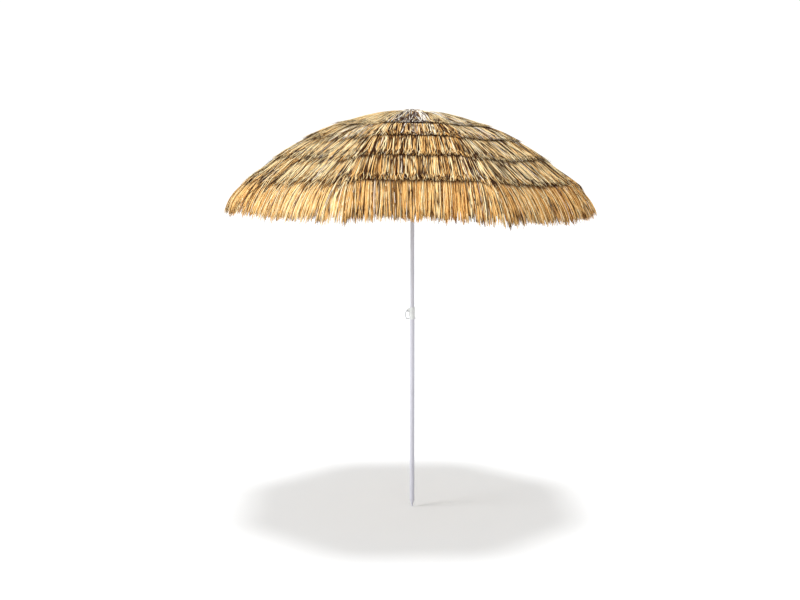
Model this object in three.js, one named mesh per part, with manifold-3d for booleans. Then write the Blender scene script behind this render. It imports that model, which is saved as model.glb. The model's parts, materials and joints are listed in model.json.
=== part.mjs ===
// Thatched beach umbrella with a two-section pole, eight ribs and a sliding runner.
// Millimetres, +Z up, origin on the pole's axis at the tip of the ground spike.
import * as THREE from 'three';
import { mergeGeometries, mergeVertices } from 'three/addons/utils/BufferGeometryUtils.js';
import Module from 'manifold-3d';

// ---- driving dimensions ------------------------------------------------------------------

const GAP = 0.3; // clearance between pieces that touch
const RIBS = 8;
const FIRST_RIB = 22.5; // azimuth of rib 1, so that a flat canopy panel faces front

const TUBE_SIDES = 24;
const LOWER_RADIUS = 12.5;
const UPPER_RADIUS = 11;
const TUBE_WALL = 1.2;
const SPIKE_HEIGHT = 36;
const LOWER_TOP = 1082;
const UPPER_BOTTOM = 745;
const UPPER_TOP = 2066;

const COLLAR_BOTTOM = 1024.5;
const COLLAR_TOP = 1089;
const COLLAR_RADIUS = 14;
const LUG_THICKNESS = 5;
const LUG_SLOT_HEIGHT = 1071;

const PIN_HEIGHT = 1030.5;
const PIN_RADIUS = 1.5;
const PIN_HOLE_RADIUS = 2.1;
const PIN_HOLES = 7;
const PIN_PITCH = 30;

const HINGE_RADIUS = 30; // from the pole's axis to the crown and runner hinge wires
const CROWN_HINGE_HEIGHT = 2085;
const WIRE_RADIUS = 1.25;
const EYE_HOLE_RADIUS = 1.7;
const EYE_RADIUS = 4;
const EYE_THICKNESS = 3;
const NOTCH_RADIUS = 38;
const NOTCH_SLOT = 6.4;
const NOTCH_SLOT_DEPTH = 15; // how far each slot runs in from the rim
const NOTCH_HALF_HEIGHT = 9;
const NOTCH_COVER = 3.5; // plate that closes the back of the slots

const RIB_RADIUS = 2.5;
const RIB_ARC_RADIUS = 1905.6;
const RIB_START_SLOPE = 8; // degrees below level at the hinge
const RIB_END_SLOPE = 36; // degrees below level at the tip
const BRACKET_DISTANCE = 470; // crown hinge to bracket pivot, and the stretcher's length
const BRACKET_ANGLE = 16.5; // that line's angle below level
const RIVET_RADIUS = 1.3;

const CANOPY_LIFT = 6; // inner face of the canopy above the ribs' centre line
const CANOPY_START = 46;

// ---- materials ---------------------------------------------------------------------------

const material = (color, roughness, metalness) =>
  new THREE.MeshStandardMaterial({ color, roughness, metalness });
const PAINTED_STEEL = material(0xe9e8ee, 0.35, 0.1);
const WHITE_PLASTIC = material(0xe4e6e6, 0.5, 0);
const ZINC_WIRE = material(0xb9bec2, 0.35, 0.9);
const STRAW = material(0xdcb97f, 0.9, 0);
const PALE_STRAW = material(0xd9d3c6, 0.9, 0);

// ---- helpers -----------------------------------------------------------------------------

const wasm = await Module();
wasm.setup();

const rad = THREE.MathUtils.degToRad;

/** The closed solid inside a three.js geometry, for cutting and joining. */
function solid(geometry) {
  const bare = geometry.clone();
  bare.deleteAttribute('normal');
  bare.deleteAttribute('uv');
  const merged = mergeVertices(bare, 1e-4);
  return new wasm.Manifold(new wasm.Mesh({
    numProp: 3,
    vertProperties: new Float32Array(merged.attributes.position.array),
    triVerts: new Uint32Array(merged.index.array),
  }));
}

/** A three.js geometry from a solid. */
function toGeometry(body) {
  const mesh = body.getMesh();
  const geometry = new THREE.BufferGeometry();
  geometry.setAttribute('position', new THREE.BufferAttribute(mesh.vertProperties, 3));
  geometry.setIndex(new THREE.BufferAttribute(mesh.triVerts, 1));
  geometry.computeVertexNormals();
  return geometry;
}

/** The first geometry joined with `added` ones and cut by `removed` ones. */
function combine(base, added = [], removed = []) {
  let body = solid(base);
  for (const piece of added) body = body.add(solid(piece));
  for (const piece of removed) body = body.subtract(solid(piece));
  return toGeometry(body);
}

/** A solid of revolution about Z from [radius, height] points, in either winding. */
function turned(points, sides = TUBE_SIDES, phase = 0) {
  const area = points.reduce((sum, [r, z], i) => {
    const [nextR, nextZ] = points[(i + 1) % points.length];
    return sum + r * nextZ - nextR * z;
  }, 0);
  const ordered = area > 0 ? [...points] : [...points].reverse();
  const onAxis = ordered.findIndex(([r], i) => r === 0 && ordered.at(i - 1)[0] === 0);
  const profile = onAxis >= 0
    ? [...ordered.slice(onAxis), ...ordered.slice(0, onAxis)]
    : [...ordered, ordered[0]];
  const outline = profile.map(([r, z]) => new THREE.Vector2(r, z));
  return new THREE.LatheGeometry(outline, sides, rad(phase)).rotateX(Math.PI / 2);
}

/** A plate of the given outline in the X-Z plane, centred on y = 0. */
function plate(outline, thickness, holes = []) {
  const shape = new THREE.Shape(outline.map(([x, z]) => new THREE.Vector2(x, z)));
  for (const [x, z, radius] of holes) {
    shape.holes.push(new THREE.Path().absarc(x, z, radius, 0, 2 * Math.PI, true));
  }
  return new THREE.ExtrudeGeometry(shape, { depth: thickness, bevelEnabled: false, curveSegments: 5 })
    .translate(0, 0, -thickness / 2)
    .rotateX(Math.PI / 2);
}

function box([x0, x1], [y0, y1], [z0, z1]) {
  return new THREE.BoxGeometry(x1 - x0, y1 - y0, z1 - z0)
    .translate((x0 + x1) / 2, (y0 + y1) / 2, (z0 + z1) / 2);
}

/** A round bar of the given radius swept along a path in the X-Z plane. */
function bar(path, radius, steps, sides = 8) {
  const section = new THREE.Shape();
  section.absarc(0, 0, radius, 0, 2 * Math.PI);
  return new THREE.ExtrudeGeometry(section, {
    steps, extrudePath: path, curveSegments: sides / 2, bevelEnabled: false,
  });
}

/** A cylinder along X through the pole at the given height. */
function crossHole(height, radius) {
  return new THREE.CylinderGeometry(radius, radius, 4 * COLLAR_RADIUS, 12)
    .rotateZ(Math.PI / 2)
    .translate(0, 0, height);
}

/** The outline of a bar with round ends, from x = 0 to x = length. */
function eyeOutline(length, radius) {
  const turn = (x, from) => Array.from({ length: 7 }, (_, i) => {
    const angle = rad(from + 30 * i);
    return [x + radius * Math.cos(angle), radius * Math.sin(angle)];
  });
  return [...turn(length, -90), ...turn(0, 90)];
}

const umbrella = new THREE.Group();

/** Adds a named mesh to the umbrella or to one of its groups. */
function add(name, geometry, look, parent = umbrella) {
  const mesh = new THREE.Mesh(geometry, look);
  mesh.name = name;
  parent.add(mesh);
  return mesh;
}

// ---- lower pole --------------------------------------------------------------------------

function tube(radius, bottom, top) {
  const bore = radius - TUBE_WALL;
  return turned([[bore, bottom], [radius, bottom], [radius, top], [bore, top]]);
}

function addLowerPole() {
  const lowerTube = tube(LOWER_RADIUS, SPIKE_HEIGHT + GAP, LOWER_TOP);
  add('lower_pole', combine(lowerTube, [], [crossHole(PIN_HEIGHT, PIN_HOLE_RADIUS)]), PAINTED_STEEL);

  const spigot = LOWER_RADIUS - TUBE_WALL - GAP;
  add('ground_spike', turned([
    [0, 0], [1.5, 0], [LOWER_RADIUS, SPIKE_HEIGHT], [spigot, SPIKE_HEIGHT],
    [spigot, SPIKE_HEIGHT + 30], [0, SPIKE_HEIGHT + 30],
  ]), PAINTED_STEEL);
}

/** Plastic sleeve on the lower pole's mouth, with the lug that keeps the clip. */
function addCollar() {
  const over = LOWER_RADIUS + GAP;
  const lip = UPPER_RADIUS + 0.4;
  const sleeve = turned([
    [over, COLLAR_BOTTOM], [COLLAR_RADIUS, COLLAR_BOTTOM], [COLLAR_RADIUS, COLLAR_TOP],
    [lip, COLLAR_TOP], [lip, LOWER_TOP + GAP], [over, LOWER_TOP + GAP],
  ]);
  const lug = plate([
    [-13.2, 17], [-15, 16], [-27, 7], [-29, 4], [-29, -5], [-26, -7.5], [-17.5, -9],
    [-17.5, -31], [-13.2, -35],
  ], LUG_THICKNESS).translate(0, 0, LUG_SLOT_HEIGHT);
  const slot = box([-31, -18.5], [-4, 4], [LUG_SLOT_HEIGHT - 2.2, LUG_SLOT_HEIGHT + 2.2]);
  const pinHole = crossHole(PIN_HEIGHT, PIN_HOLE_RADIUS);
  add('pole_collar', combine(sleeve, [lug], [slot, pinHole]), WHITE_PLASTIC);
}

/** Bent wire: a straight pin through both tubes, a D-shaped grip, and an end in the lug's slot. */
function addClip() {
  const at = (x, abovePin) => new THREE.Vector3(x, 0, PIN_HEIGHT + abovePin);
  const slot = LUG_SLOT_HEIGHT - PIN_HEIGHT;
  const wire = new THREE.CurvePath();
  wire.add(new THREE.LineCurve3(at(21, 0), at(-17, 0)));
  wire.add(new THREE.CatmullRomCurve3([
    at(-17, 0), at(-21, -2.5), at(-26, -4.2), at(-31, -1), at(-34, 6.5), at(-35, 16.5),
    at(-34.6, 27.5), at(-33, 35.5), at(-29.5, slot - 0.8), at(-25, slot),
  ]));
  wire.add(new THREE.LineCurve3(at(-25, slot), at(-20.5, slot)));
  add('locking_clip', bar(wire, PIN_RADIUS, 44), ZINC_WIRE);
}

// ---- upper pole and crown ----------------------------------------------------------------

const CATCH_WIDTH = 4;
const CATCH_TOP = 1785;
const CATCH_PIVOT = [8.2, 1715];

function addUpperPole() {
  const holes = Array.from({ length: PIN_HOLES }, (_, i) =>
    crossHole(PIN_HEIGHT - PIN_PITCH * i, PIN_HOLE_RADIUS));
  const half = CATCH_WIDTH / 2 + 0.5;
  const catchSlot = box([-half, half], [-20, 0], [CATCH_TOP - 19, CATCH_TOP + 2]);
  const upperTube = tube(UPPER_RADIUS, UPPER_BOTTOM, UPPER_TOP);
  add('upper_pole', combine(upperTube, [], [...holes, catchSlot]), PAINTED_STEEL);

  const spigot = UPPER_RADIUS - TUBE_WALL - 0.4;
  add('pole_end_plug', turned([
    [0, UPPER_BOTTOM - 4], [UPPER_RADIUS - 1, UPPER_BOTTOM - 4], [UPPER_RADIUS, UPPER_BOTTOM - 3],
    [UPPER_RADIUS, UPPER_BOTTOM - GAP], [spigot, UPPER_BOTTOM - GAP],
    [spigot, UPPER_BOTTOM + 14], [0, UPPER_BOTTOM + 14],
  ]), WHITE_PLASTIC);
}

/** Eight-sided ring of wire whose straight sides are the hinge pins of the ribs or stretchers. */
function hingeWire(height, radius) {
  const corner = HINGE_RADIUS / Math.cos(Math.PI / RIBS);
  const section = Array.from({ length: 8 }, (_, i) => {
    const angle = (i + 0.5) * Math.PI / 4;
    return [corner + radius * Math.cos(angle), height + radius * Math.sin(angle)];
  });
  return turned(section, RIBS);
}

/** Cutters for the eight rib slots of a notch disc, between two heights. */
function notchSlots([bottom, top]) {
  return Array.from({ length: RIBS }, (_, i) =>
    box([NOTCH_RADIUS - NOTCH_SLOT_DEPTH, NOTCH_RADIUS + 5], [-NOTCH_SLOT / 2, NOTCH_SLOT / 2], [bottom, top])
      .rotateZ(rad(FIRST_RIB + 360 / RIBS * i)));
}

function addCrown() {
  const spigot = UPPER_RADIUS - TUBE_WALL - 0.4;
  const bottom = CROWN_HINGE_HEIGHT - NOTCH_HALF_HEIGHT;
  const top = CROWN_HINGE_HEIGHT + NOTCH_HALF_HEIGHT;
  const screwHole = 2.8;
  const hub = turned([
    [0, UPPER_TOP - 28], [spigot, UPPER_TOP - 28], [spigot, UPPER_TOP + GAP], [15, UPPER_TOP + GAP],
    [15, bottom], [NOTCH_RADIUS - 1, bottom], [NOTCH_RADIUS, bottom + 1], [NOTCH_RADIUS, top - 1],
    [NOTCH_RADIUS - 1, top], [screwHole, top], [screwHole, top - 16], [0, top - 16],
  ]);
  const slots = notchSlots([bottom - 5, top - NOTCH_COVER]);
  add('crown_hub', combine(hub, [], [...slots, hingeWire(CROWN_HINGE_HEIGHT, WIRE_RADIUS + 0.4)]),
    WHITE_PLASTIC);
  add('crown_wire', hingeWire(CROWN_HINGE_HEIGHT, WIRE_RADIUS), ZINC_WIRE);

  const capBottom = top + 0.4;
  add('crown_cap', turned([
    [3, capBottom], [39, capBottom], [41, capBottom + 2], [41, capBottom + 4.6],
    [20, capBottom + 9], [3, capBottom + 9.6],
  ]), WHITE_PLASTIC);
  const headBottom = capBottom + 9.9;
  add('cap_screw', turned([
    [0, top - 12], [2.4, top - 12], [2.4, headBottom], [6, headBottom], [6, headBottom + 1.6],
    [4, headBottom + 3], [0, headBottom + 3],
  ], 12), ZINC_WIRE);
}

/** Spring catch inside the upper pole; its nose stands out through the slot under the runner. */
function addCatch() {
  const [leaf, foot] = CATCH_PIVOT;
  const inner = leaf - 0.6;
  const outer = leaf + 0.6;
  const nose = 15.5;
  const outline = [
    [inner, foot - 5], [outer, foot - 5], [outer, CATCH_TOP - 17], [nose, CATCH_TOP - 4],
    [nose, CATCH_TOP], [inner, CATCH_TOP],
  ];
  add('runner_catch', plate(outline, CATCH_WIDTH).rotateZ(-Math.PI / 2), ZINC_WIRE);
}

// ---- ribs, stretchers and runner ---------------------------------------------------------

/** Point on a rib's centre line, in the rib's own radial plane, where its slope is `slope` degrees. */
function ribPoint(slope, lift = 0) {
  const a = rad(slope);
  const start = rad(RIB_START_SLOPE);
  return [
    HINGE_RADIUS + RIB_ARC_RADIUS * (Math.sin(a) - Math.sin(start)) + lift * Math.sin(a),
    CROWN_HINGE_HEIGHT - RIB_ARC_RADIUS * (Math.cos(start) - Math.cos(a)) + lift * Math.cos(a),
  ];
}

class RibArc extends THREE.Curve {
  getPoint(t, target = new THREE.Vector3()) {
    const first = RIB_START_SLOPE + THREE.MathUtils.radToDeg(8 / RIB_ARC_RADIUS);
    const [x, z] = ribPoint(THREE.MathUtils.lerp(first, RIB_END_SLOPE, t));
    return target.set(x, 0, z);
  }
}

const bracketPivot = [
  HINGE_RADIUS + BRACKET_DISTANCE * Math.cos(rad(BRACKET_ANGLE)),
  CROWN_HINGE_HEIGHT - BRACKET_DISTANCE * Math.sin(rad(BRACKET_ANGLE)),
];
const runnerHingeHeight = CROWN_HINGE_HEIGHT - 2 * BRACKET_DISTANCE * Math.sin(rad(BRACKET_ANGLE));

/** Steel rib: a bowed rod with a flattened eye on the crown's hinge wire. */
function ribGeometry() {
  const eye = plate(eyeOutline(9, EYE_RADIUS), EYE_THICKNESS, [[0, 0, EYE_HOLE_RADIUS]])
    .rotateY(rad(RIB_START_SLOPE))
    .translate(HINGE_RADIUS, 0, CROWN_HINGE_HEIGHT);
  return combine(bar(new RibArc(), RIB_RADIUS, 10), [eye]);
}

/** Steel stretcher: a straight rod with a flattened eye at each end. */
function stretcherGeometry() {
  const eyes = [0, BRACKET_DISTANCE].map((x) =>
    plate(eyeOutline(11, EYE_RADIUS), EYE_THICKNESS, [[0, 0, EYE_HOLE_RADIUS]])
      .rotateY(x ? Math.PI : 0)
      .translate(x, 0, 0));
  const rod = new THREE.CylinderGeometry(RIB_RADIUS, RIB_RADIUS, BRACKET_DISTANCE - 20, 8)
    .rotateZ(Math.PI / 2)
    .translate(BRACKET_DISTANCE / 2, 0, 0);
  return combine(rod, eyes)
    .rotateY(-rad(BRACKET_ANGLE))
    .translate(HINGE_RADIUS, 0, runnerHingeHeight);
}

/** Saddle clamped on the rib, with two ears and the rivet that carries the stretcher. */
function bracketGeometry() {
  const slope = 22.17; // the rib's slope over the bracket
  const toRib = 11.6; // pivot to the rib's centre line
  const earInside = 2.2;
  const outside = 4.5;
  const bottom = toRib - RIB_RADIUS - 1.8;
  const saddle = box([-11, 11], [-outside, outside], [bottom, toRib + 4.2]);
  const ear = plate([[-6, bottom + 1], [-5, -2], [-2, -5], [2, -5], [5, -2], [6, bottom + 1]],
    outside - earInside);
  const ears = [-1, 1].map((side) => ear.clone().translate(0, side * (outside + earInside) / 2, 0));
  const rivet = new THREE.CylinderGeometry(RIVET_RADIUS, RIVET_RADIUS, 2 * outside, 10);
  const heads = [-1, 1].map((side) =>
    new THREE.CylinderGeometry(2.8, 2.8, 1.2, 10).translate(0, side * (outside + 0.5), 0));
  const boreRadius = RIB_RADIUS + 0.5;
  const ribBore = new THREE.CylinderGeometry(boreRadius, boreRadius, 40, 8)
    .rotateZ(Math.PI / 2)
    .translate(0, 0, toRib);
  return combine(saddle, [...ears, rivet, ...heads], [ribBore])
    .rotateY(rad(slope))
    .translate(bracketPivot[0], 0, bracketPivot[1]);
}

/** Plastic cap pushed over the rib's end. */
function tipGeometry() {
  const bore = RIB_RADIUS + GAP;
  const [x, z] = ribPoint(RIB_END_SLOPE);
  return turned([
    [bore, -11], [4, -11], [4.4, -9], [4.4, 2], [3, 5], [0, 6], [0, GAP], [bore, GAP],
  ], 8)
    .rotateY(rad(90 + RIB_END_SLOPE))
    .translate(x, 0, z);
}

/** Plastic runner: a slotted notch disc on a sleeve that slides on the upper pole. */
function addRunner() {
  const bore = UPPER_RADIUS + 0.6;
  const bottom = runnerHingeHeight - NOTCH_HALF_HEIGHT;
  const top = runnerHingeHeight + NOTCH_HALF_HEIGHT;
  const sleeveBottom = CATCH_TOP + 1;
  const body = turned([
    [bore, sleeveBottom], [18, sleeveBottom], [18, bottom], [NOTCH_RADIUS - 1, bottom],
    [NOTCH_RADIUS, bottom + 1], [NOTCH_RADIUS, top - 1], [NOTCH_RADIUS - 1, top],
    [16, top], [16, top + 14], [bore, top + 14],
  ]);
  const slots = notchSlots([bottom + NOTCH_COVER, top + 5]);
  add('runner', combine(body, [], [...slots, hingeWire(runnerHingeHeight, WIRE_RADIUS + 0.4)]),
    WHITE_PLASTIC);
  add('runner_wire', hingeWire(runnerHingeHeight, WIRE_RADIUS), ZINC_WIRE);
}

// ---- canopy ------------------------------------------------------------------------------

/** Outer face of the thatch over a rib, as [radius, height]. */
const THATCH_OUTSIDE = [
  [988, 1608], [982, 1625], [962, 1664], [930, 1712], [888, 1762], [810, 1818], [735, 1872],
  [660, 1923], [580, 1968], [500, 2014], [420, 2049], [340, 2078], [255, 2103], [170, 2118.5],
  [100, 2124.5], [CANOPY_START, 2127],
];
/** Inner face of the fringe beyond the ribs' ends. */
const FRINGE_INSIDE = [[894, 1741], [908, 1706], [932, 1655], [956, 1606]];

/** One panel of the canopy, reaching halfway to the ribs on either side. */
function goreGeometry() {
  const innerStart = RIB_START_SLOPE + 0.6;
  const steps = 11;
  const lining = Array.from({ length: steps + 1 }, (_, i) =>
    ribPoint(THREE.MathUtils.lerp(innerStart, RIB_END_SLOPE, i / steps), CANOPY_LIFT));
  const under = lining.filter(([r]) => r > CANOPY_START);
  const start = [CANOPY_START, lining[0][1]];
  const outline = [start, ...under, ...FRINGE_INSIDE, ...THATCH_OUTSIDE]
    .map(([r, z]) => new THREE.Vector2(r, z));

  const half = Math.PI / RIBS;
  const skin = new THREE.LatheGeometry([...outline, outline[0]], 2, Math.PI / 2 - half, 2 * half)
    .rotateX(Math.PI / 2);
  const sides = [-half, half].map((angle) => {
    const side = new THREE.ShapeGeometry(new THREE.Shape(outline)).rotateX(Math.PI / 2);
    if (angle > 0) side.index.array.reverse();
    return side.rotateZ(angle);
  });
  const gore = mergeGeometries([skin, ...sides]);
  for (const name of ['normal', 'uv']) gore.deleteAttribute(name);
  const closed = mergeVertices(gore, 0.01);

  // The panels between ribs are flat across, so the side edges lie on the chord between ribs.
  const place = closed.attributes.position;
  for (let i = 0; i < place.count; i += 1) {
    if (Math.abs(place.getY(i)) > 1) {
      place.setXY(i, place.getX(i) * Math.cos(half), place.getY(i) * Math.cos(half));
    }
  }
  return closed.translate(GAP / 2 / Math.sin(half), 0, 0);
}

/** Bleached tuft of straw tied over the crown. */
function addTuft() {
  add('crown_tuft', turned([
    [0, 2109], [40, 2109], [40, 2128.5], [100, 2126], [100, 2128.5], [85, 2132], [50, 2135.6],
    [0, 2137],
  ]), PALE_STRAW);
}

// ---- assembly ----------------------------------------------------------------------------

addLowerPole();
addCollar();
addClip();
addUpperPole();
addCrown();
addTuft();
addRunner();
addCatch();

const armPieces = [
  ['rib', ribGeometry(), PAINTED_STEEL],
  ['rib_bracket', bracketGeometry(), WHITE_PLASTIC],
  ['rib_tip', tipGeometry(), WHITE_PLASTIC],
  ['stretcher', stretcherGeometry(), PAINTED_STEEL],
  ['canopy_gore', goreGeometry(), STRAW],
];
for (let i = 0; i < RIBS; i += 1) {
  const arm = new THREE.Group();
  arm.rotation.z = rad(FIRST_RIB + 360 / RIBS * i);
  umbrella.add(arm);
  for (const [name, geometry, look] of armPieces) add(`${name}_${i + 1}`, geometry, look, arm);
}

export default umbrella;
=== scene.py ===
"""Looks of the thatched beach umbrella, built in Blender around its CAD frame.

Each rib carries one gore of the canopy, which reaches halfway to the ribs on either side: a fabric
lining and five tiers of raffia strands sewn on it. A gore is made in its rib's own plane (x
outward, y across, z up) and turned to the rib. Rings of the canopy run straight from rib to rib,
and the radius of a place on it is where its ring crosses the rib. A panel is the face between two
ribs, so each gore has half of one panel and half of the next. Lengths are in metres.
"""
import json
import math
from types import SimpleNamespace
from typing import NamedTuple

import bpy
import numpy as np
from mathutils import Euler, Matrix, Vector


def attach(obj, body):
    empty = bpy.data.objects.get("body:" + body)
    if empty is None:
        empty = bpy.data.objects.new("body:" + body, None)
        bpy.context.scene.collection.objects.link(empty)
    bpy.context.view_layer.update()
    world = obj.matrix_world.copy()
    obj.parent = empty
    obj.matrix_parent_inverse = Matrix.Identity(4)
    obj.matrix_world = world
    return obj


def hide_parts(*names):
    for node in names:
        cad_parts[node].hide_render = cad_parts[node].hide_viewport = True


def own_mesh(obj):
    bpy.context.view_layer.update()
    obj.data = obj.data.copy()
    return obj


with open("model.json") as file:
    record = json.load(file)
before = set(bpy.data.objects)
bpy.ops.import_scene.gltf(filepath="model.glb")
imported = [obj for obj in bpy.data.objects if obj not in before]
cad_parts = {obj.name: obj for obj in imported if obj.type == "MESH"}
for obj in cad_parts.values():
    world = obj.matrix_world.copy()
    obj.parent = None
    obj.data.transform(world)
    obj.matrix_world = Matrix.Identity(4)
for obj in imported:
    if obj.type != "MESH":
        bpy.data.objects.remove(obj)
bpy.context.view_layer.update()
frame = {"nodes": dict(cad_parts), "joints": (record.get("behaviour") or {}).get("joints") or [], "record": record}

JOINTS = {joint["name"]: joint for joint in frame["joints"]}
RIBS = 8
HALF_GORE = math.pi / RIBS
TAN_HALF = math.tan(HALF_GORE)
HALF_WIDTH = math.sin(HALF_GORE) * math.cos(HALF_GORE)  # half a gore's width over its radius

# ---- sizes of the canopy -----------------------------------------------------------------

# Outer face of the thatch over a rib: radius and height.
OUTER = np.array([
    (0.000, 2.126), (0.070, 2.125), (0.120, 2.120), (0.170, 2.110), (0.255, 2.089), (0.340, 2.067),
    (0.437, 2.040), (0.500, 2.015), (0.578, 1.975), (0.660, 1.928), (0.737, 1.876), (0.810, 1.821),
    (0.888, 1.764), (0.932, 1.718), (0.965, 1.670), (0.992, 1.618), (1.012, 1.566), (1.03, 1.50),
])
THINNEST = 0.004  # least height of the thatch, from its inner face to its outer one
FRINGE_DEPTH = 0.020  # how far in from its outer face the fringe's inner face hangs
RIB_ARC_RADIUS = 1.9056
RIB_START_SLOPE = math.radians(8)
LINING_LIFT = 0.0042  # lining above a rib's centre line
LINING_CLEARANCE = 0.0035  # least height of a strand's centre line over the lining
LINING_THICKNESS = 0.0009
CROWN_RADIUS = 0.043  # where the lining goes in under the crown cap
HEM_RADIUS = 0.886
HEM_BLEND = 0.03  # on either side of the hem, where the thatch's inner face turns down
CORNER_ROUNDING = 0.007  # how far the thatch is drawn in over a rib
CORNER_WIDTH = 0.045  # on either side of a rib, where it is drawn in
FLARE_WIDTH = 0.13  # on either side of a rib, where its tip spreads the fringe
STEP = 0.006  # how far a tier's face lies under the one above it, at that one's edge
LAYER = 0.012  # thickness of a tier's strands over the next one
LEAN = (-0.020, -0.020)  # rise of the thatch per metre of x and y: it is higher left and in front
LOWEST_LEAN = -0.010  # the most that the lean lowers it
DRIFT = -0.013  # shift of the thatch to the left, all of it beyond DRIFT_TO
DRIFT_FROM, DRIFT_TO = 0.2, 0.9

# ---- differences between panels ----------------------------------------------------------

# These have a value for each panel. Panel 1 lies before rib 1, and panel 7 faces the front, with
# panel 6 on its left and panel 8 on its right.

# How far a panel hangs in midway between its ribs, at the hem.
PANEL_SAG = (0.020, 0.024, 0.017, 0.022, 0.019, 0.026, 0.005, 0.023)
# How much its tiers run into one another, from 0, clear edges, to 1, one long fall.
BLENDED = (0.20, 0.10, 0.35, 0.10, 0.25, 0.75, 0.00, 0.15)
# How much painted sheen whitens its top tier away from its ribs, strongest on the panel facing the front.
TOP_TIER_SHEEN = (0.15, 0.30, 0.10, 0.25, 0.15, 0.05, 0.85, 0.45)
# How wide the bundles are that its strands gather in.
BUNDLE_PITCH = (0.0115, 0.0115, 0.0115, 0.0115, 0.0115, 0.0130, 0.0115, 0.0140)
# How much of its strands is painted dark in slits, as painted shade of the layers below, and how wide such a slit
# is.
SHADED_SLITS = (0.22, 0.20, 0.26, 0.22, 0.22, 0.22, 0.28, 0.33)
SHADED_SLIT_PITCH = (0.0054, 0.0054, 0.0054, 0.0054, 0.0054, 0.0052, 0.0054, 0.0060)
# How many more of its strands, as a share of them, lie deep enough to get painted shade.
OPENNESS = (0, 0, 0, 0, 0, -0.02, 0.04, 0.03)
# How much paler than the rest its tiers and its fringe are.
PANEL_TONE = (0.02, 0, 0, 0, 0, 0.01, -0.08, 0.09)
FRINGE_TONE = (0, 0, 0, 0, 0, -0.04, 0.01, -0.04)
# How many times as wide its strands are.
STRAND_GIRTH = (1, 1, 1, 1, 1, 1.1, 1, 1.2)
# How much is trimmed off its fringe midway between its ribs.
TRIM = (0.004, 0.009, 0.002, 0.008, 0.005, 0.005, 0.004, 0.005)

# These two have a value for each rib: how much is trimmed off the fringe over it (below 0 the
# fringe is longer there), and how far the rib's tip spreads the fringe outward.
CORNER_TRIM = (0, 0, 0, 0, 0, -0.005, -0.006, 0.013)
FLARE = (0.022, 0.026, 0.020, 0.024, 0.026, 0.000, 0.000, 0.010)

# ---- tiers and strands -------------------------------------------------------------------


class Tier(NamedTuple):
    """One ring of raffia. Its bow, hook and fray are standard deviations."""

    name: str
    start: float  # radius where it is sewn on
    emerges: float  # radius where it comes out from under the tier above
    edge: float  # radius where it ends
    strand_count: int  # on one gore
    ragged: float  # how unevenly its strands end
    keep: float  # share of its width that is left beside the rib when the canopy is folded
    level: float = 0.77  # tone, from 0, dark, to 1, pale
    straight: float = 1.0  # how far strands run straight down the panel instead of fanning out
    gathered: float = 1.0  # how far strands gather in bundles
    tufted: float = 0.15  # how far strands' ends gather in tufts
    fray: float = 0.035  # how far strands pass the edge where tiers run into one another
    bow: float = 0.0025  # how far strands bow sideways
    hook: float = 0.009  # how far strands' tips bend sideways
    edge_shade: float = 0.9  # painted shade under the edge of the tier above
    exposed: float = 0.0  # share of strands that light reaches in addition
    dark: float = 0.10  # share of strands dark wherever they lie, as dark raffia and as painted shade of gaps
    shaded_slit: float = 1.0  # how much of the panel's painted-shade slits it has
    worn: float = 0.0  # share of strands that are bleached midway between ribs


TIERS = [
    Tier("tier_1", 0.045, 0.100, 0.402, 560, 0.009, 0.60, level=0.93, straight=0.15, bow=0.011,
         edge_shade=0.0, exposed=0.24),
    Tier("tier_2", 0.350, 0.402, 0.560, 580, 0.008, 0.42, worn=0.22),
    Tier("tier_3", 0.500, 0.560, 0.722, 700, 0.008, 0.32),
    Tier("tier_4", 0.660, 0.722, 0.882, 840, 0.008, 0.24),
    Tier("fringe", 0.820, 0.882, 1.007, 1250, 0.007, 0.13, level=0.56, gathered=0.8, tufted=0.35,
         fray=0.0, hook=0.003, dark=0.05, shaded_slit=0.4),
]
STRAYS = 0.12  # share of strands that lie loose, in no bundle
ON_TOP = 0.28  # share of strands that lie on top and gather in bundles
TUFT_PITCH = 0.019  # width of the tufts that strands' ends gather in
RECESSED = 0.007  # how much shorter the strands below the top ones are
RUFFLED = 0.050  # how much longer at most the strands of an upper tier are over a rib
SPLAY, STRAY_SPLAY = 0.0025, 0.024  # standard deviations of how far strands' ends turn aside
OVERLAP = 0.004  # how far a strand may cross into the next gore
ROOT_LIFT = 0.003  # height of a strand's root over the thatch's inner face
STRAY_LIFT = 0.002  # how much higher stray strands lie
TIP_LIFT = 0.003  # standard deviation of how far tips stand up
OVERHANG_RISE = 0.12  # slope at which strands that pass their tier's edge stand off it
TOP_ARCH = 0.008  # how far at most strands of the top tier arch up
STRAND_WIDTHS = (0.0026, 0.0052)
FLATNESS = 0.32  # thickness of a strand over its width
# Where a strand's points lie, as shares of its length.
ALONG = np.array([0, 0.20, 0.33, 0.42, 0.62, 0.80, 0.91, 1])


def smoothstep(low, high, value):
    t = np.clip((value - low) / (high - low), 0, 1)
    return t * t * (3 - 2 * t)


def scatter(phase, scale):
    """A number from 0 to 1 for each phase, as if drawn at random. The scale has to be large."""
    value = np.sin(phase) * scale
    return value - np.floor(value)


def smooth_profile(points, step=0.004, passes=14):
    """Densely sampled copy of a profile with its corners eased."""
    radii = np.arange(points[0, 0], points[-1, 0] + step, step)
    heights = np.interp(radii, points[:, 0], points[:, 1])
    for _ in range(passes):
        heights[1:-1] = (heights[:-2] + 2 * heights[1:-1] + heights[2:]) / 4
    return radii, heights


OUTER_R, OUTER_Z = smooth_profile(OUTER)
hinge = np.array(JOINTS["canopy_fold"]["pos_m"])
HINGE_RADIUS, HINGE_HEIGHT = float(np.hypot(hinge[0], hinge[1])), float(hinge[2])


def outer_height(radius):
    """Height of the thatch's outer face over a rib."""
    return np.interp(radius, OUTER_R, OUTER_Z)


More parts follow.
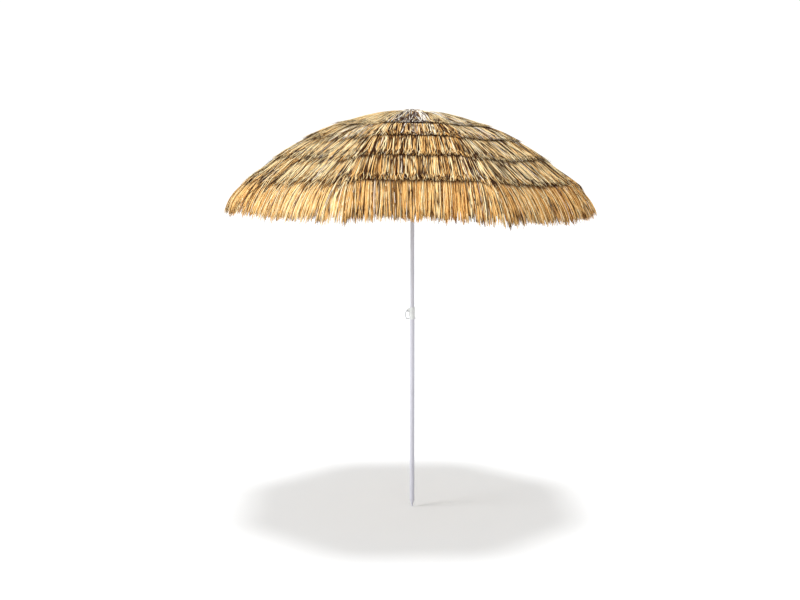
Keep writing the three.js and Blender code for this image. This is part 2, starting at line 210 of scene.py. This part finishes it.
def rib_height(radius):
    """Height of a rib's centre line at a radius."""
    sine = math.sin(RIB_START_SLOPE) + (radius - HINGE_RADIUS) / RIB_ARC_RADIUS
    cosine = np.sqrt(np.clip(1 - sine * sine, 0, 1))
    return HINGE_HEIGHT - RIB_ARC_RADIUS * (math.cos(RIB_START_SLOPE) - cosine)


def base_height(radius):
    """Height of the thatch's inner face: the lining, then the hanging inside of the fringe."""
    lining = rib_height(np.minimum(radius, HEM_RADIUS)) + LINING_LIFT
    fringe = outer_height(radius + FRINGE_DEPTH) - THINNEST
    share = smoothstep(HEM_RADIUS - HEM_BLEND, HEM_RADIUS + HEM_BLEND, radius)
    return np.minimum(lining * (1 - share) + fringe * share, outer_height(radius) - THINNEST)


def ring_radius(points):
    """Radius at which the straight-sided ring through each point crosses its rib."""
    return points[..., 0] + np.abs(points[..., 1]) * TAN_HALF


def by_side(y, index, values):
    """The value of each place's panel, of the two on either side of rib `index`."""
    return np.where(y > 0, values[index % RIBS], values[index - 1])


def panel_sag(radius, y, index):
    """How far the canopy hangs in on either side of rib `index`."""
    share = np.clip(np.abs(y) / (HALF_WIDTH * np.maximum(radius, 0.05)), 0, 1)
    most = by_side(y, index, PANEL_SAG)
    return most * smoothstep(0.1, 0.8, radius) * (1 - (1 - share) ** 2)


def rib_azimuth(index):
    """Azimuth of rib `index` (1 to 8), from its fold joint's place, and that joint's name."""
    name = "canopy_fold" if index == 1 else f"rib_{index}_fold"
    x, y, _ = JOINTS[name]["pos_m"]
    return math.atan2(y, x), name


def turn(points, azimuth):
    """Points turned about the pole's axis."""
    c, s = math.cos(azimuth), math.sin(azimuth)
    turned = np.array(points, float)
    turned[..., 0] = c * points[..., 0] - s * points[..., 1]
    turned[..., 1] = s * points[..., 0] + c * points[..., 1]
    return turned


# ---- node materials ----------------------------------------------------------------------


class Nodes:
    """A new material with short calls to add and link its nodes."""

    def __init__(self, name, roughness, metallic=0.0):
        self.material = bpy.data.materials.new(name)
        self.material.use_nodes = True
        self.tree = self.material.node_tree
        self.shader = self.tree.nodes["Principled BSDF"]
        self.set("Roughness", roughness)
        self.set("Metallic", metallic)

    def set(self, socket, value):
        """A uniform value of the shader."""
        self.shader.inputs[socket].default_value = value

    def link(self, output, socket):
        """A value of the shader that varies over the surface."""
        self.tree.links.new(output, self.shader.inputs[socket])

    def add(self, kind, inputs=None, **settings):
        node = self.tree.nodes.new("ShaderNode" + kind)
        for key, value in settings.items():
            setattr(node, key, value)
        for key, value in (inputs or {}).items():
            if isinstance(value, bpy.types.NodeSocket):
                self.tree.links.new(value, node.inputs[key])
            else:
                node.inputs[key].default_value = value
        return node

    def coordinates(self, stretch=(1, 1, 1)):
        """The object's own coordinates."""
        source = self.add("TexCoord")
        mapping = self.add("Mapping", {"Vector": source.outputs["Object"], "Scale": stretch})
        return mapping.outputs["Vector"]

    def uv(self, stretch):
        """The mesh's UV map: round and along a strand, or along and across the lining."""
        source = self.add("UVMap", uv_map="fibre")
        mapping = self.add("Mapping", {"Vector": source.outputs["UV"], "Scale": stretch})
        return mapping.outputs["Vector"]

    def noise(self, vector, scale, detail=3.0, roughness=0.5):
        node = self.add("TexNoise", {
            "Vector": vector, "Scale": scale, "Detail": detail, "Roughness": roughness,
        })
        return node.outputs["Fac"]

    def ramp(self, factor, stops):
        """A colour that goes through (position, colour) stops."""
        node = self.add("ValToRGB", {"Fac": factor})
        ramp = node.color_ramp
        ramp.elements[0].position, ramp.elements[0].color = stops[0][0], (*stops[0][1], 1)
        ramp.elements[1].position, ramp.elements[1].color = stops[-1][0], (*stops[-1][1], 1)
        for position, colour in stops[1:-1]:
            ramp.elements.new(position).color = (*colour, 1)
        return node.outputs["Color"]

    def spread(self, factor, low, high):
        """A factor of 0 to 1 made to run from low to high."""
        node = self.add("MapRange", {"Value": factor, "To Min": low, "To Max": high})
        return node.outputs["Result"]

    def math(self, operation, a, b):
        node = self.add("Math", {0: a, 1: b}, operation=operation)
        return node.outputs["Value"]

    def mix(self, factor, a, b):
        """Colour a where the factor is 0 and colour b where it is 1."""
        node = self.add("Mix", data_type="RGBA")
        for socket, value in ((0, factor), (6, a), (7, b)):
            if isinstance(value, bpy.types.NodeSocket):
                self.tree.links.new(value, node.inputs[socket])
            else:
                node.inputs[socket].default_value = value if socket == 0 else (*value, 1)
        return node.outputs[2]

    def bump(self, height, strength, distance):
        node = self.add("Bump", {"Height": height, "Strength": strength, "Distance": distance})
        return node.outputs["Normal"]


def straw_material():
    """Raffia: each strand has its own tone and blotches, dashes of painted light and shade, and fine fibres along
    it.

    The mesh's attributes say how pale its tone is, how far painted shade and dark raffia darken it,
    and how far bleaching and painted sheen whiten it.
    """
    m = Nodes("raffia", roughness=0.62)
    m.set("Specular IOR Level", 0.08)
    tone, painted_shade_and_dark_raffia, pale = (m.add("Attribute", attribute_name=name).outputs["Fac"]
                        for name in ("tone", "painted_shade_and_dark_raffia", "pale"))
    blotch = m.noise(m.uv((0.6, 9, 1)), 1.0, 2.0)
    # painted highlights and shade: short light and dark dashes along each strand
    painted_light_and_shade_dashes = m.noise(m.uv((1.7, 42, 1)), 1.0, 1.0)
    fibre = m.noise(m.uv((9, 14, 1)), 1.0, 4.0, 0.65)
    level = m.math("ADD", tone, m.spread(blotch, -0.12, 0.12))
    level = m.math("ADD", level, m.spread(painted_light_and_shade_dashes, -0.36, 0.34))
    level = m.math("ADD", level, m.spread(fibre, -0.12, 0.12))
    golden = m.ramp(level, [
        (0.00, (0.100, 0.028, 0.005)), (0.18, (0.36, 0.140, 0.030)), (0.38, (0.64, 0.320, 0.088)),
        (0.58, (0.83, 0.470, 0.155)), (0.78, (0.95, 0.610, 0.240)), (1.00, (1.00, 0.85, 0.52)),
    ])
    # whitish colour of bleached strands, and of the painted sheen on the top tier
    bleached_and_sheen_colour = m.ramp(level, [
        (0.00, (0.10, 0.070, 0.050)), (0.25, (0.38, 0.30, 0.23)), (0.45, (0.74, 0.66, 0.56)),
        (0.65, (0.88, 0.83, 0.76)), (1.00, (0.97, 0.95, 0.92)),
    ])
    colour = m.mix(pale, golden, bleached_and_sheen_colour)
    # painted shade: the dark red-brown that strands in the shade of others, and dark raffia, are mixed to
    shaded = (0.045, 0.012, 0.003)
    colour = m.mix(painted_shade_and_dark_raffia, colour, shaded)
    m.link(colour, "Base Color")
    m.link(m.spread(fibre, 0.48, 0.78), "Roughness")
    m.link(m.bump(fibre, 0.5, 0.0006), "Normal")
    return m.material


STRAW = straw_material()


def lining_material():
    """Natural-coloured plain-weave polyester, with thread relief and faint soiling."""
    m = Nodes("lining_weave", roughness=0.85)
    m.set("Sheen Weight", 0.25)
    threads = {"Vector": m.uv((1, 1, 1)), "Scale": 260.0, "Distortion": 0.4}
    warp = m.add("TexWave", threads, bands_direction="X").outputs["Fac"]
    weft = m.add("TexWave", threads, bands_direction="Y").outputs["Fac"]
    weave = m.math("MULTIPLY", warp, weft)
    stain = m.noise(m.coordinates(), 5.0, 5.0, 0.6)
    colour = m.ramp(stain, [(0.30, (0.60, 0.50, 0.35)), (0.70, (0.71, 0.62, 0.46))])
    between_threads = (0.42, 0.34, 0.22)
    colour = m.mix(m.spread(weave, 0.0, 0.22), colour, between_threads)
    m.link(colour, "Base Color")
    m.link(m.bump(weave, 0.25, 0.0004), "Normal")
    return m.material


def paint_material():
    """White powder-coated steel: slight orange peel, fine scuffs and a cool tint."""
    m = Nodes("white_paint", roughness=0.32)
    m.set("Coat Weight", 0.1)
    m.set("Specular IOR Level", 0.35)
    peel = m.noise(m.coordinates(), 900.0, 2.0)
    wear = m.noise(m.coordinates((1, 1, 0.12)), 55.0, 6.0, 0.7)
    colour = m.ramp(wear, [(0.25, (0.44, 0.44, 0.48)), (0.48, (0.51, 0.51, 0.57)),
                           (0.80, (0.55, 0.55, 0.61))])
    m.link(colour, "Base Color")
    m.link(m.spread(wear, 0.26, 0.46), "Roughness")
    m.link(m.bump(peel, 0.08, 0.0002), "Normal")
    return m.material


def plastic_material():
    """Injection-moulded white plastic: fine grain, a little greyed by handling."""
    m = Nodes("white_plastic", roughness=0.45)
    grain = m.noise(m.coordinates(), 1400.0, 2.0)
    dirt = m.noise(m.coordinates(), 60.0, 5.0, 0.65)
    colour = m.ramp(dirt, [(0.25, (0.50, 0.52, 0.52)), (0.55, (0.61, 0.63, 0.63)),
                           (0.85, (0.66, 0.68, 0.68))])
    m.link(colour, "Base Color")
    m.link(m.spread(dirt, 0.55, 0.38), "Roughness")
    m.link(m.bump(grain, 0.12, 0.00015), "Normal")
    return m.material


def wire_material():
    """Zinc-plated spring wire: finely marked from drawing, with dull patches."""
    m = Nodes("zinc_wire", roughness=0.35, metallic=1.0)
    draw = m.noise(m.coordinates(), 420.0, 4.0, 0.6)
    dull = m.noise(m.coordinates(), 70.0, 3.0)
    colour = m.ramp(dull, [(0.30, (0.085, 0.088, 0.092)), (0.70, (0.155, 0.16, 0.165))])
    m.link(colour, "Base Color")
    m.link(m.spread(draw, 0.42, 0.66), "Roughness")
    m.link(m.bump(draw, 0.15, 0.0002), "Normal")
    return m.material


# ---- meshes ------------------------------------------------------------------------------


def new_object(name, vertices, faces, material, uvs, attributes=None):
    """A smooth object from arrays. `faces` is (count, 4); uvs has one pair per face corner."""
    mesh = bpy.data.meshes.new(name)
    corners = faces.reshape(-1)
    mesh.vertices.add(len(vertices))
    mesh.vertices.foreach_set("co", np.asarray(vertices, np.float32).reshape(-1))
    mesh.loops.add(len(corners))
    mesh.loops.foreach_set("vertex_index", corners.astype(np.int32))
    mesh.polygons.add(len(faces))
    mesh.polygons.foreach_set("loop_start", np.arange(0, len(corners), 4, dtype=np.int32))
    mesh.update(calc_edges=True)
    layer = mesh.uv_layers.new(name="fibre")
    layer.data.foreach_set("uv", np.asarray(uvs, np.float32).reshape(-1))
    for key, values in (attributes or {}).items():
        attribute = mesh.attributes.new(key, "FLOAT", "POINT")
        attribute.data.foreach_set("value", np.asarray(values, np.float32))
    mesh.polygons.foreach_set("use_smooth", np.full(len(faces), True))
    mesh.materials.append(material)
    mesh.validate()
    obj = bpy.data.objects.new(name, mesh)
    bpy.context.scene.collection.objects.link(obj)
    return obj


def unit(vectors):
    return vectors / np.maximum(np.linalg.norm(vectors, axis=-1, keepdims=True), 1e-12)


SIDES = np.arange(4)  # a strand has four sides, and four vertices at each of its points


def strand_faces(count, steps):
    """Faces of `count` strands of `steps` points each: the walls, then the two caps of each."""
    first = np.arange(count)[:, None] * steps * 4
    a = first[:, :, None] + np.arange(steps - 1)[None, :, None] * 4 + SIDES
    b = a - SIDES + (SIDES + 1) % 4
    walls = np.stack([a, b, b + 4, a + 4], axis=-1).reshape(-1, 4)
    root_caps = first + SIDES[::-1]
    tip_caps = first + (steps - 1) * 4 + SIDES
    return np.concatenate([walls, root_caps, tip_caps])


def strand_uvs(paths):
    """UVs of strands' walls and caps: u goes round a strand, v along it in metres."""
    count = len(paths)
    length = np.linalg.norm(np.diff(paths, axis=1), axis=-1).cumsum(axis=1)
    length = np.concatenate([np.zeros((count, 1)), length], axis=1)
    shift = np.arange(count) * 0.618  # gives each strand its own stretch of the textures
    v0 = (length[:, :-1] + shift[:, None])[..., None] + np.zeros(4)
    v1 = (length[:, 1:] + shift[:, None])[..., None] + np.zeros(4)
    u0 = np.broadcast_to(SIDES / 4 + shift[:, None, None], v0.shape)
    u1 = u0 + 0.25
    walls = np.stack([np.stack([u0, v0], -1), np.stack([u1, v0], -1),
                      np.stack([u1, v1], -1), np.stack([u0, v1], -1)], axis=-2).reshape(-1, 2)
    caps = np.zeros((count * 8, 2)) + np.repeat(shift, 8)[:, None]
    return np.concatenate([walls, caps])


def strands_object(name, paths, up, widths, tones, painted_shade_and_dark_raffia, pale):
    """Closed flat strands along `paths` (count, steps, 3), their flat side facing along `up`."""
    count, steps, _ = paths.shape
    along = unit(np.gradient(paths, axis=1))
    across = unit(np.cross(along, up))
    normal = np.cross(across, along)
    taper = np.interp(np.linspace(0, 1, steps), [0, 0.15, 0.9, 1], [0.6, 1, 0.95, 0.45])
    half = (widths[:, None] * taper[None, :] / 2)[..., None]
    ring = np.stack([paths - across * half, paths + normal * half * FLATNESS,
                     paths + across * half, paths - normal * half * FLATNESS], axis=2)
    attributes = {
        "tone": np.repeat(tones, steps * 4),
        "painted_shade_and_dark_raffia": np.repeat(painted_shade_and_dark_raffia.reshape(-1), 4),
        "pale": np.repeat(pale.reshape(-1), 4),
    }
    return new_object(name, ring.reshape(-1, 3), strand_faces(count, steps), STRAW,
                      strand_uvs(paths), attributes)


# ---- thatch ------------------------------------------------------------------------------


def root_offset(tier, end):
    """Where strands start across the gore: straight down it in the middle, fanned at the rib."""
    drop = HALF_WIDTH * (tier.edge - tier.start)
    widest = HALF_WIDTH * tier.edge
    bend = drop / 0.7
    full = 1 - math.exp(-widest / bend)
    size = np.abs(end)
    parallel = size - drop * (1 - np.exp(-size / bend)) / full
    fanned = size * tier.start / tier.edge
    return np.sign(end) * (parallel * tier.straight + fanned * (1 - tier.straight))


def lay_out(rng, tier, index):
    """Where each strand of a tier starts and ends on a gore, and what it gathers with.

    Places across the gore are measured from its rib, and are negative on panel `index`.
    """
    count = tier.strand_count
    fluff = rng.uniform(0.03, 0.09, 2)  # how far on either side the rib ruffles the strands
    share = (np.arange(count) + rng.uniform(0, 1, count)) / count * 2 - 1
    end = share * HALF_WIDTH * tier.edge
    depth = (rng.permutation(count) + 0.5) / count  # from 0, on top, to 1, undermost
    stray = rng.uniform(0, 1, count) < STRAYS
    on_top = depth < ON_TOP
    over_rib = np.exp(-(np.abs(end) / np.where(end > 0, fluff[1], fluff[0])) ** 2)
    blended = by_side(end, index, BLENDED)

    pitch = by_side(end, index, BUNDLE_PITCH)
    bundle = np.floor(end / pitch + rng.uniform(-0.25, 0.25, count))
    bundle_scatter = scatter(bundle * 12.9898 + 4.1 * tier.edge, 43758.5453)
    gather = np.where(stray, 0, np.where(on_top, rng.uniform(0.65, 0.97, count), 0.1))
    tuft = np.round(end / TUFT_PITCH + rng.uniform(-0.3, 0.3, count))
    tuft_scatter = scatter(tuft * 78.233 + 7.7 * tier.edge, 12543.123)
    tuft_centre = (tuft + 0.3 * (tuft_scatter - 0.5)) * TUFT_PITCH

    off_centre = np.abs(end - tuft_centre) / TUFT_PITCH
    reach = tier.ragged * ((tuft_scatter - 0.5) - off_centre + rng.uniform(-0.7, 0.9, count))
    reach = reach - np.where(on_top, 0, RECESSED)
    reach = reach + tier.fray * blended * rng.normal(0, 1, count)
    if tier.name == "fringe":
        reach = reach - by_side(end, index, TRIM) * (1 - (1 - np.abs(share)) ** 2)
        reach = reach - CORNER_TRIM[index - 1] * np.exp(-(end / 0.12) ** 2)
        notched = tuft_scatter > 0.88
        reach = reach - np.where(notched, rng.uniform(0.005, 0.025, count), 0)
    else:
        reach = reach + over_rib * rng.uniform(-0.1, 1, count) * RUFFLED
    return SimpleNamespace(
        share=share,
        end=end,
        root=root_offset(tier, end),
        depth=depth,
        stray=stray,
        over_rib=over_rib,
        blended=blended,
        bundle_scatter=bundle_scatter,
        bundle_centre=(bundle + 0.25 + 0.5 * bundle_scatter) * pitch,
        gather=gather * tier.gathered,
        tuft_centre=tuft_centre,
        tuft_gather=np.where(stray, 0, tier.tufted),
        first=tier.start + rng.uniform(-0.010, 0.010, count),
        last=tier.edge + reach,
    )


def strand_paths(rng, tier, strands, index):
    """Centre lines of laid-out strands in the rib's plane, and the radii along them."""
    count, end, v = tier.strand_count, strands.end, ALONG[None, :]
    radius = strands.first[:, None] + (strands.last - strands.first)[:, None] * v
    y = strands.root[:, None] * (1 - v) + end[:, None] * v
    y = y + ((strands.bundle_centre - end) * strands.gather)[:, None] * smoothstep(0, 0.6, v)
    y = y + ((strands.tuft_centre - end) * strands.tuft_gather)[:, None] * v ** 3
    y = y + rng.normal(0, tier.bow, count)[:, None] * np.sin(math.pi * v)
    stray_splay = rng.normal(0, STRAY_SPLAY, count)
    splay = np.where(strands.stray, stray_splay, rng.normal(0, SPLAY, count))
    y = y + splay[:, None] * v
    y = y + rng.normal(0, tier.hook, count)[:, None] * smoothstep(0.8, 1, v)
    limit = HALF_WIDTH * radius + OVERLAP
    y = np.clip(y, -limit, limit)

    # How far below the outer face a strand lies: at its root near the inner face, and at its own
    # depth once it comes out from under the tier above.
    thick = outer_height(radius) - base_height(radius)
    emerged = smoothstep(tier.start, tier.emerges - 0.005, radius)
    risen = smoothstep(tier.emerges - 0.02, tier.edge, radius)
    shown = STEP * (1 - risen) + LAYER * strands.depth[:, None] * (0.5 + 0.5 * risen)
    below = (thick - ROOT_LIFT) * (1 - emerged) + shown * emerged
    if tier.name != "fringe":
        below = below - OVERHANG_RISE * np.maximum(radius - tier.edge, 0)
        below = below - np.abs(rng.normal(0, TIP_LIFT, count))[:, None] * smoothstep(0.8, 1, v)
    below = below - np.where(strands.stray, STRAY_LIFT, 0)[:, None]
    if tier.name == "tier_1":
        below = below - rng.uniform(0, TOP_ARCH, count)[:, None] * np.sin(math.pi * v) ** 2

    x = radius - np.abs(y) * TAN_HALF
    x = x - CORNER_ROUNDING * np.exp(-(y / CORNER_WIDTH) ** 2) * radius / 0.9
    z = outer_height(radius) - np.minimum(below, thick) - panel_sag(radius, y, index)
    flare = FLARE[index - 1] * np.exp(-(y / FLARE_WIDTH) ** 2) * smoothstep(0.90, 1.0, radius)
    return np.stack([x + 0.5 * flare, y, z + 0.6 * flare], axis=-1), radius


def strand_shades(rng, tier, strands, radius, index):
    """Tone of each strand, and its painted shade, dark raffia, bleaching and painted sheen at each point."""
    count, end, depth = tier.strand_count, strands.end, strands.depth
    is_fringe, is_top = tier.name == "fringe", tier.name == "tier_1"
    tone = tier.level + by_side(end, index, FRINGE_TONE if is_fringe else PANEL_TONE)
    tone = tone + 0.16 * (strands.bundle_scatter - 0.5) + rng.normal(0, 0.24, count)
    # painted shade: strands that lie deeper are darker
    tone = tone - 0.16 * depth
    tone = tone + 0.08 * strands.over_rib + np.where(strands.stray, 0.16, 0)
    tone = tone + 0.20 * strands.blended
    # painted sheen: the top tier paler away from its ribs, by an amount set for each panel
    painted_sheen = smoothstep(0.22, 0.55, np.abs(strands.share) + 0.2 * np.sign(end))
    painted_sheen = (painted_sheen * by_side(end, index, TOP_TIER_SHEEN))[:, None]

    # painted shade: a dark band just under the edge of the tier above, weaker over ribs and where tiers blend
    edge_shade = 1 - smoothstep(tier.emerges, tier.emerges + 0.014, radius)
    edge_shade = edge_shade * (1 - np.maximum(0.75 * strands.over_rib, strands.blended))[:, None]
    # painted shade on strands lying deep among the others; the fringe spares its undermost ones
    gap_shade = smoothstep(0.26, 0.36, depth - tier.exposed + by_side(end, index, OPENNESS))
    if is_fringe:
        gap_shade = 0.8 * gap_shade * (1 - smoothstep(0.66, 0.80, depth))
    # dark raffia, which also stands in for painted shade in the gaps between strands
    gap_shade = np.where(rng.uniform(0, 1, count) < tier.dark, 0.8, gap_shade)[:, None]
    # painted shade: dark streaks along strands, as if split open to the shaded layers below
    shaded_slit = np.floor(end / by_side(end, index, SHADED_SLIT_PITCH))[:, None]
    shaded_slit_scatter = scatter(shaded_slit * 3.17 + np.arange(len(ALONG)) * 47.9, 9631.7)
    shaded_slit_share = by_side(end, index, SHADED_SLITS)[:, None] * tier.shaded_slit
    # more painted-shade slits where the painted sheen is
    if is_top:
        shaded_slit_share = shaded_slit_share + 0.34 * painted_sheen
    gap_shade = np.where((shaded_slit_scatter < shaded_slit_share) & (ALONG > 0.2), 0.98, gap_shade)
    # all the painted shade of a strand, with its dark raffia
    painted_shade_and_dark_raffia = np.clip(np.maximum(gap_shade, tier.edge_shade * edge_shade), 0, 1)

    draw = rng.uniform(0, 1, count)[:, None]
    if is_top:
        # painted sheen: paler tone and whitish strands away from the ribs; whitish near the crown as well
        tone = tone + 0.06 * painted_sheen[:, 0]
        pale = 0.85 * (draw < 0.9 * np.maximum(1 - smoothstep(0.06, 0.17, radius), painted_sheen))
    else:
        middle = smoothstep(0.35, 0.75, np.abs(strands.share))[:, None]
        pale = np.broadcast_to(0.7 * (draw < 0.03 + tier.worn * middle), radius.shape)
    return np.clip(tone, 0.02, 1), painted_shade_and_dark_raffia, pale


def thatch_normals(paths):
    """Outward directions of the canopy along strands, from the outer face's slope."""
    radius = ring_radius(paths)
    slope = (outer_height(radius + 0.01) - outer_height(radius - 0.01)) / 0.02
    side = np.clip(paths[..., 1] / 0.05, -1, 1) * HALF_GORE
    return unit(np.stack([-slope * np.cos(side), -slope * np.sin(side), np.ones_like(slope)], -1))


def settle(paths, azimuth, index):
    """Strands leaned and shifted with the whole thatch, then kept above the lining."""
    lean = LEAN[0] * paths[..., 0] + LEAN[1] * paths[..., 1]
    paths[..., 2] += np.maximum(lean, LOWEST_LEAN)
    distance = np.hypot(paths[..., 0], paths[..., 1])
    paths[..., 0] += DRIFT * smoothstep(DRIFT_FROM, DRIFT_TO, distance)
    local = turn(paths, -azimuth)
    radius = ring_radius(local)
    lining = rib_height(radius) + LINING_LIFT - panel_sag(radius, local[..., 1], index)
    lowest = np.where(radius < HEM_RADIUS + 0.01, lining + LINING_CLEARANCE, 0)
    paths[..., 2] = np.maximum(paths[..., 2], lowest)
    return paths


def make_thatch(index, azimuth):
    """All tiers of raffia on the gore of rib `index`."""
    for number, tier in enumerate(TIERS):
        rng = np.random.default_rng(1000 * index + number)
        strands = lay_out(rng, tier, index)
        paths, radius = strand_paths(rng, tier, strands, index)
        tones, painted_shade_and_dark_raffia, pale = strand_shades(rng, tier, strands, radius, index)
        widths = rng.uniform(*STRAND_WIDTHS, tier.strand_count)
        widths = widths * by_side(paths[:, -1, 1], index, STRAND_GIRTH)
        normals = turn(thatch_normals(paths), azimuth)
        paths = settle(turn(paths, azimuth), azimuth, index)
        piece = strands_object(f"{tier.name}_{index}", paths, normals, widths, tones, painted_shade_and_dark_raffia, pale)
        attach(piece, f"arm_{index}")
        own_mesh(piece)


def make_crown_tuft():
    """Short bleached strands tied at the centre and tousled over the top tier."""
    rng = np.random.default_rng(77)
    count = 1100
    bearing = rng.uniform(0, 2 * math.pi, count)
    reach = 0.050 + 0.045 * rng.uniform(0, 1, count) ** 1.5
    first = rng.uniform(0.000, 0.035, count)
    depth = rng.uniform(0, 1, count)
    v = ALONG[None, :]
    radius = first[:, None] + (reach - first)[:, None] * v
    angle = bearing[:, None] + rng.normal(0, 0.5, count)[:, None] * v
    angle = angle + rng.normal(0, 0.12, count)[:, None] * np.sin(2 * math.pi * v)
    arch = rng.uniform(0.0, 0.006, count)[:, None] * np.sin(math.pi * np.sqrt(v))
    droop = rng.uniform(0.002, 0.022, count)[:, None] * v ** 3
    z = outer_height(radius) - 0.001 - 0.009 * depth[:, None] + arch - droop
    paths = np.stack([radius * np.cos(angle), radius * np.sin(angle), z], axis=-1)
    up = np.broadcast_to(np.array([0.0, 0.0, 1.0]), paths.shape)
    # painted shade: the undermost strands and some others dark, as the tuft's shaded gaps
    dark = (rng.uniform(0, 1, count) < 0.30) | (depth > 0.5)
    painted_shade_and_dark_raffia = np.repeat(np.where(dark, 0.96, 0.0)[:, None], len(ALONG), axis=1)
    tones = np.clip(rng.normal(0.90, 0.16, count), 0, 1)
    pale = np.full(paths.shape[:2], 0.8)
    widths = rng.uniform(0.003, 0.006, count)
    tuft = strands_object("crown_tuft_strands", paths, up, widths, tones, painted_shade_and_dark_raffia, pale)
    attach(tuft, "upper")
    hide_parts("crown_tuft")


# ---- lining ------------------------------------------------------------------------------


def make_lining(index, azimuth, material):
    """One fabric gore over its rib, from under the crown cap to the hem."""
    rows, columns = 44, 25
    radii = np.linspace(CROWN_RADIUS, HEM_RADIUS, rows)[:, None]
    across = np.linspace(-1, 1, columns)[None, :]
    y = across * HALF_WIDTH * radii
    x = radii - np.abs(y) * TAN_HALF
    z = rib_height(radii) + LINING_LIFT - panel_sag(radii, y, index)
    upper = np.stack([x, y, z + 0 * y], axis=-1)
    lower = upper - np.array([0, 0, LINING_THICKNESS])
    vertices = turn(np.concatenate([upper.reshape(-1, 3), lower.reshape(-1, 3)]), azimuth)

    grid = np.arange(rows * columns).reshape(rows, columns)
    cells = np.stack([grid[:-1, :-1], grid[1:, :-1], grid[1:, 1:], grid[:-1, 1:]], -1)
    cells = cells.reshape(-1, 4)
    under = cells[:, ::-1] + rows * columns
    loop = np.concatenate([grid[0, :], grid[1:, -1], grid[-1, -2::-1], grid[-2:0:-1, 0]])
    following = np.roll(loop, -1)
    rim = np.stack([loop, following, following + rows * columns, loop + rows * columns], -1)
    faces = np.concatenate([cells, under, rim])
    flat = np.stack([np.broadcast_to(radii, y.shape), y], -1).reshape(-1, 2)
    flat = np.concatenate([flat, flat])
    panel = new_object(f"lining_{index}", vertices, faces, material, flat[faces.reshape(-1)])
    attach(panel, f"arm_{index}")
    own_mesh(panel)
    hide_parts(f"canopy_gore_{index}")


# ---- assembly ----------------------------------------------------------------------------


def dress_frame():
    """Materials for the CAD nodes that stay, shaded smooth except at real edges."""
    looks = {"painted_steel": paint_material(), "white_plastic": plastic_material(),
             "zinc_wire": wire_material()}
    slots = {part["node"]: part["material_slot"] for part in frame["record"]["subparts"]}
    for node, obj in frame["nodes"].items():
        if slots[node] not in looks:
            continue
        obj.data.materials.clear()
        obj.data.materials.append(looks[slots[node]])
        obj.data.shade_smooth()
        obj.data.set_sharp_from_angle(angle=math.radians(35))


def light_room():
    """A bright even room, dimmer on the right than on the left, and white to the camera."""
    left, right, backdrop = 0.80, 0.52, 1.05
    world = bpy.data.worlds.new("studio")
    world.use_nodes = True
    tree = world.node_tree
    seen = tree.nodes.new("ShaderNodeLightPath")
    direction = tree.nodes.new("ShaderNodeTexCoord")
    sides = tree.nodes.new("ShaderNodeSeparateXYZ")
    room = tree.nodes.new("ShaderNodeMapRange")
    for socket, value in (("From Min", -1), ("From Max", 1), ("To Min", left), ("To Max", right)):
        room.inputs[socket].default_value = value
    strength = tree.nodes.new("ShaderNodeMapRange")
    strength.inputs["To Max"].default_value = backdrop
    tree.links.new(direction.outputs["Generated"], sides.inputs["Vector"])
    tree.links.new(sides.outputs["X"], room.inputs["Value"])
    tree.links.new(room.outputs["Result"], strength.inputs["To Min"])
    tree.links.new(seen.outputs["Is Camera Ray"], strength.inputs["Value"])
    tree.links.new(strength.outputs["Result"], tree.nodes["Background"].inputs["Strength"])
    tree.nodes["Background"].inputs["Color"].default_value = (1, 1, 1, 1)
    bpy.context.scene.world = world
    bpy.context.scene.view_settings.view_transform = "Standard"


def lay_floor():
    """A wide sheet of pale matt paper, just under the spike's tip."""
    size = 40.0
    corners = [(-size, -size, 0), (size, -size, 0), (size, size, 0), (-size, size, 0)]
    floor_mesh = bpy.data.meshes.new("floor")
    floor_mesh.from_pydata(corners, [], [(0, 1, 2, 3)])
    floor = bpy.data.objects.new("floor", floor_mesh)
    floor.location.z = -0.001
    bpy.context.scene.collection.objects.link(floor)
    paper = Nodes("floor_paper", roughness=0.9)
    paper.set("Base Color", (0.815, 0.825, 0.835, 1))
    paper.set("Specular IOR Level", 0.0)
    floor.data.materials.append(paper.material)


# Name, energy, width in degrees and direction of each sun. The key comes from the upper left.
SUNS = (
    ("key", 2.3, 32, (0.90, 0.26, -0.38)),
    ("overhead", 1.60, 14, (0.0, 0.02, -1.0)),
    ("front", 0.45, 50, (-0.10, 0.95, -0.25)),
)


def hang_lights():
    """Wide suns, for soft shadows."""
    for name, energy, softness, towards in SUNS:
        lamp = bpy.data.lights.new(name, "SUN")
        lamp.energy = energy
        lamp.angle = math.radians(softness)
        lamp_object = bpy.data.objects.new(name, lamp)
        lamp_object.rotation_euler = Vector(towards).to_track_quat("-Z", "Y").to_euler()
        bpy.context.scene.collection.objects.link(lamp_object)


def make_camera():
    """Eye level in front, a little to the left, looking slightly down at the canopy."""
    distance, height = 6.392, 1.902
    azimuth = math.radians(-3.0)
    pitch = math.radians(6.911)
    yaw = math.radians(0.585)  # keeps the pole right of the centre
    data = bpy.data.cameras.new("camera")
    data.sensor_width = 36  # this and the lens are in millimetres
    data.lens = 54.5085
    data.clip_end = 200
    camera = bpy.data.objects.new("camera", data)
    camera.location = (distance * math.sin(azimuth), -distance * math.cos(azimuth), height)
    camera.rotation_euler = Euler((math.radians(90) - pitch, 0, azimuth + yaw))
    bpy.context.scene.collection.objects.link(camera)
    bpy.context.scene.camera = camera


make_camera()
light_room()
lay_floor()
hang_lights()
dress_frame()
LINING = lining_material()
for rib in range(1, RIBS + 1):
    rib_bearing, fold = rib_azimuth(rib)
    make_lining(rib, rib_bearing, LINING)
    make_thatch(rib, rib_bearing)
make_crown_tuft()
